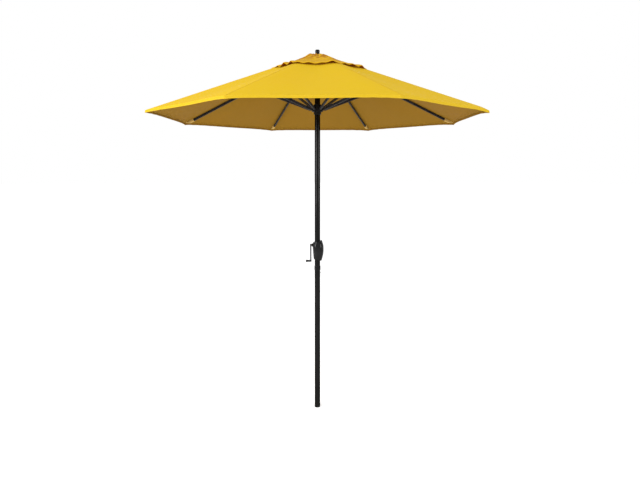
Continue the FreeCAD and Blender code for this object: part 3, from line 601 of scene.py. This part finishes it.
def cap_profile(r):
    """Smooth curve through the profile's points."""
    r = np.asarray(r, float)
    h = np.diff(CAP_R)
    d = np.diff(CAP_Z) / h
    m = np.zeros(len(CAP_R))
    m[1:-1] = (d[:-1] * h[1:] + d[1:] * h[:-1]) / (h[1:] + h[:-1])
    m[0], m[-1] = d[0], d[-1]
    i = np.clip(np.searchsorted(CAP_R, r) - 1, 0, len(h) - 1)
    s = (r - CAP_R[i]) / h[i]
    return ((1 + 2 * s) * (1 - s) ** 2 * CAP_Z[i] + s * (1 - s) ** 2 * h[i] * m[i]
            + s * s * (3 - 2 * s) * CAP_Z[i + 1] + s * s * (s - 1) * h[i] * m[i + 1])


def around(phi, centre, width):
    d = (phi - math.radians(centre) + math.pi) % (2 * math.pi) - math.pi
    return np.exp(-((d / math.radians(width)) ** 2))


# how far the cap's free hem stands off the canopy: azimuth, width (degrees), height
LIFTS = [(214, 4.0, 0.008), (251, 5.0, 0.0130), (262, 5.0, 0.0120), (276, 6.0, 0.0095), (303, 5.0, 0.0100),
         (347, 5.0, 0.008), (2, 5.5, 0.010), (14, 4.0, 0.007), (33, 5.5, 0.013), (52, 5.0, 0.009), (78, 6.0, 0.012),
         (97, 5.0, 0.008), (121, 5.5, 0.012), (146, 5.5, 0.010), (168, 5.0, 0.013), (186, 4.5, 0.010)]
KICKS = [(229, 4.6, 0.021), (241.5, 3.8, 0.021), (286.5, 5.0, 0.0185), (316, 6.0, 0.0150), (328.5, 4.2, 0.0190)]


def cap_top(r, t, k, extra=0.0):
    y = t * r * HALF
    x = r - np.abs(y) * T22
    a = rib_azimuth(k)
    X = x * math.cos(a) - y * math.sin(a)
    Y = x * math.sin(a) + y * math.cos(a)
    phi = np.arctan2(Y, X)
    z = cap_profile(r) + extra
    # the free edge hangs further out at the front than at the left
    reach = 0.031 * around(phi, 268, 30) - 0.018 * around(phi, 206, 13) + 0.018 * around(phi, 328, 13)
    reach = reach * smooth(0.20, 0.350, r)
    grown = (r + reach) / r
    x, y, z = x * grown, y * grown, z - PITCH * reach
    # a soft fold of spare cloth on one side of the crown
    z = z + 0.0075 * np.exp(-(((r - 0.058) / 0.026) ** 2)) * around(phi, 184, 40)
    z = z - 0.0016 * np.exp(-(((r - 0.105) / 0.03) ** 2)) * around(phi, 200, 30)
    # pleats that radiate from the finial
    env = smooth(0.018, 0.060, r) * (1 - smooth(0.115, 0.215, r))
    pleat = 0.55 * np.sin(11 * phi + 1.3 + 6 * r) + 0.35 * np.sin(17 * phi + 0.4 - 9 * r) + 0.2 * np.sin(29 * phi + 2.0)
    z = z + 0.0052 * env * (pleat + 0.16)
    # each gore of the cap bellies slightly, and its hem waves
    z = z - 0.0020 * smooth(0.15, 0.26, r) * (1 - np.cos(np.pi * t)) / 2 * (1 - smooth(0.27, 0.34, r))
    lift = 0.0012 + sum(h * around(phi, c, w) for c, w, h in LIFTS)
    kick = sum(h * around(phi, c, w) for c, w, h in KICKS)
    z = z + lift * smooth(0.205, 0.350, r) ** 1.35 + kick * smooth(0.250, 0.350, r)
    return np.stack([x, y, z], -1)


CAP_SPLIT = 0.128
cap_hem = np.array([0.3290, 0.3305, 0.3320, 0.3335, 0.3350, 0.3375, 0.3410, 0.3445, 0.3470, 0.3486, 0.3496, 0.3500])
cap_rs = {
    "crown": np.array([0.010, 0.013, 0.0165, 0.021, 0.026, 0.032, 0.038, 0.044, 0.050, 0.056, 0.063, 0.070, 0.078, 0.086,
                       0.094, 0.102, 0.111, 0.120, CAP_SPLIT]),
    "skirt": np.concatenate([[CAP_SPLIT], np.linspace(0.137, 0.324, 24), cap_hem]),
}
CT = np.linspace(-1, 1, 41)
for k in range(1, 9):
    for part, rs in cap_rs.items():
        R, T = np.meshgrid(rs, CT, indexing="ij")
        top = cap_top(R, T, k)
        top[..., 2] += (0.0005 * smooth(0.3300, 0.3320, R) - 0.0006 * np.exp(-(((R - 0.3335) / 0.0009) ** 2))
                        - 0.0016 * smooth(0.3455, 0.3500, R) ** 1.6)
        low = top.copy()
        low[..., 2] -= (CLOTH + 0.0013 * smooth(0.3300, 0.3325, R)) / math.cos(TILT)
        y = top[..., 1]
        along = S22 * R - np.abs(y) / C22
        away = (CAP_OUT - R) * 1.003
        uv = np.stack([np.stack([-along, away], -1), np.stack([along, away], -1)], 2)
        o = shell(f"vent_cap_{part}_{k}", turn(top, k), turn(low, k), uv, [MAT["cap"], MAT["cap_underside_painted"]])
        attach(o, f"rib_{k}")
        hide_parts("vent_cap")
        if part == "skirt":
            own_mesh(o)
        sheets.append((o, []))

# crown patch under the finial, which stays on the pole as the cap folds
cr = np.array([0.0112, 0.014, 0.018, 0.023, 0.028, 0.034, 0.040, 0.046, 0.053, 0.060])
cz = np.array([2.4527, 2.4530, 2.4529, 2.4526, 2.4518, 2.4504, 2.4484, 2.4462, 2.4432, 2.4402])
ph = np.linspace(0, 2 * math.pi, 97)
Cr, Cp = np.meshgrid(cr, ph, indexing="ij")
Cz = np.interp(Cr, cr, cz) + 0.0006 * smooth(0.02, 0.05, Cr) * np.sin(16 * Cp)
patch_top = np.stack([Cr * np.cos(Cp), Cr * np.sin(Cp), Cz], -1)


def ring(name, top, low, mats, uv_scale=1.0):
    """A closed ring-shaped sheet: the last column repeats the first, and is joined to it."""
    rows, cols, _ = top.shape
    c = cols - 1
    verts = np.vstack([top[:, :c].reshape(-1, 3), low[:, :c].reshape(-1, 3)])
    N = rows * c
    faces, mi = [], []
    for i in range(rows - 1):
        for j in range(c):
            j2 = (j + 1) % c
            a, b, d, e = i * c + j, (i + 1) * c + j, (i + 1) * c + j2, i * c + j2
            faces.append((a, b, d, e)); mi.append(0)
            faces.append((a + N, e + N, d + N, b + N)); mi.append(1)
    sharp = set()
    for j in range(c):
        j2 = (j + 1) % c
        a, b = j, j2
        faces.append((a, b, b + N, a + N)); mi.append(0)
        sharp.add((min(a, b), max(a, b))); sharp.add((min(a, b) + N, max(a, b) + N))
        a, b = (rows - 1) * c + j, (rows - 1) * c + j2
        faces.append((a, a + N, b + N, b)); mi.append(0)
        sharp.add((min(a, b), max(a, b))); sharp.add((min(a, b) + N, max(a, b) + N))
    me = bpy.data.meshes.new(name)
    me.from_pydata([tuple(p) for p in verts], [], faces)
    me.polygons.foreach_set("use_smooth", [True] * len(me.polygons))
    me.polygons.foreach_set("material_index", mi)
    layer = me.uv_layers.new(name="UVMap")
    co = np.array([v.co for v in me.vertices])
    idx = np.zeros(len(me.loops), int)
    me.loops.foreach_get("vertex_index", idx)
    layer.data.foreach_set("uv", (co[idx, :2] * uv_scale).astype(np.float32).ravel())
    me.update()
    att = me.attributes.new("sharp_edge", "BOOLEAN", "EDGE")
    att.data.foreach_set("value", [tuple(sorted(e.vertices)) in sharp for e in me.edges])
    for m in mats:
        me.materials.append(m)
    o = bpy.data.objects.new(name, me)
    bpy.context.scene.collection.objects.link(o)
    return o


patch_low = patch_top.copy()
patch_low[..., 2] -= CLOTH
crown = ring("vent_cap_patch", patch_top, patch_low, [MAT["cap"], MAT["cap_underside_painted"]])
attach(crown, "pole")
sheets.append((crown, []))


def cloth_area(o):
    """Flat area of one layer of a double-layered piece."""
    return sum(p.area for p in o.data.polygons) / 2


for o, extra in sheets:
    if o.name.startswith("canopy_"):
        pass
    elif "crown" in o.name:
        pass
    elif "skirt" in o.name:
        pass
    else:
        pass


# ------------------------------------------------------- stage and lights
def stage_material(name, colour):
    m, tree, bsdf = new_material(name)
    n = Nodes(tree)
    mottle = n.noise(n.coords("Object"), 0.8, 3.0, 0.5)
    n.link(n.mix(n.span(mottle, 0.3, 0.7), tuple(c * 0.992 for c in colour), colour), bsdf.inputs["Base Color"])
    bsdf.inputs["Roughness"].default_value = 0.95
    bsdf.inputs["Specular IOR Level"].default_value = 0.0
    bsdf.inputs["Emission Color"].default_value = (1, 1, 1, 1)
    bsdf.inputs["Emission Strength"].default_value = 0.22
    return m


def floor():
    rings = np.concatenate([[0.0], np.geomspace(0.5, 60, 26)])
    seg = 64
    verts, faces = [(0, 0, -0.0005)], []
    for r in rings[1:]:
        for j in range(seg):
            a = 2 * math.pi * j / seg
            verts.append((r * math.cos(a), r * math.sin(a), -0.0005))
    for j in range(seg):
        faces.append((0, 1 + j, 1 + (j + 1) % seg))
    for i in range(len(rings) - 2):
        for j in range(seg):
            a = 1 + i * seg + j
            b = 1 + i * seg + (j + 1) % seg
            faces.append((a, a + seg, b + seg, b))
    me = bpy.data.meshes.new("floor")
    me.from_pydata(verts, [], faces)
    me.materials.append(stage_material("floor_paper", (0.93, 0.93, 0.93)))
    o = bpy.data.objects.new("floor", me)
    bpy.context.scene.collection.objects.link(o)
    return o


floor()
world = bpy.data.worlds.new("studio")
bpy.context.scene.world = world
world.use_nodes = True
world.node_tree.nodes["Background"].inputs[0].default_value = (1, 1, 1, 1)
world.node_tree.nodes["Background"].inputs[1].default_value = 1.0


def softbox(name, at, to, size, power, colour=(1, 1, 1)):
    data = bpy.data.lights.new(name, "AREA")
    data.shape = "RECTANGLE"
    data.size, data.size_y = size
    data.energy = power
    data.color = colour
    o = bpy.data.objects.new(name, data)
    bpy.context.scene.collection.objects.link(o)
    from mathutils import Vector
    o.location = at
    o.rotation_euler = (Vector(to) - Vector(at)).to_track_quat("-Z", "Y").to_euler()
    return o


softbox("key", (-3.0, -4.8, 5.0), (0, 0, 2.2), (2.2, 2.2), 97)
softbox("box_right", (2.85, -2.45, 1.95), (0, 0, 1.7), (0.62, 1.7), 40)
softbox("box_left", (-3.05, -2.55, 1.95), (0, 0, 1.7), (1.20, 1.7), 88)

cam_data = bpy.data.cameras.new("camera")
cam_data.lens = 508.18 * 36 / 640
cam_data.sensor_width = 36
cam_data.shift_x = 0.0040
cam_data.shift_y = -0.1106
cam_data.clip_end = 300
cam = bpy.data.objects.new("camera", cam_data)
TURN = math.radians(1.165)
cam.location = (3.553 * math.sin(TURN), -3.553 * math.cos(TURN), 1.657)
cam.rotation_euler = (math.radians(90), 0, TURN)
bpy.context.scene.collection.objects.link(cam)
bpy.context.scene.camera = cam
bpy.context.scene.view_settings.view_transform = "Standard"
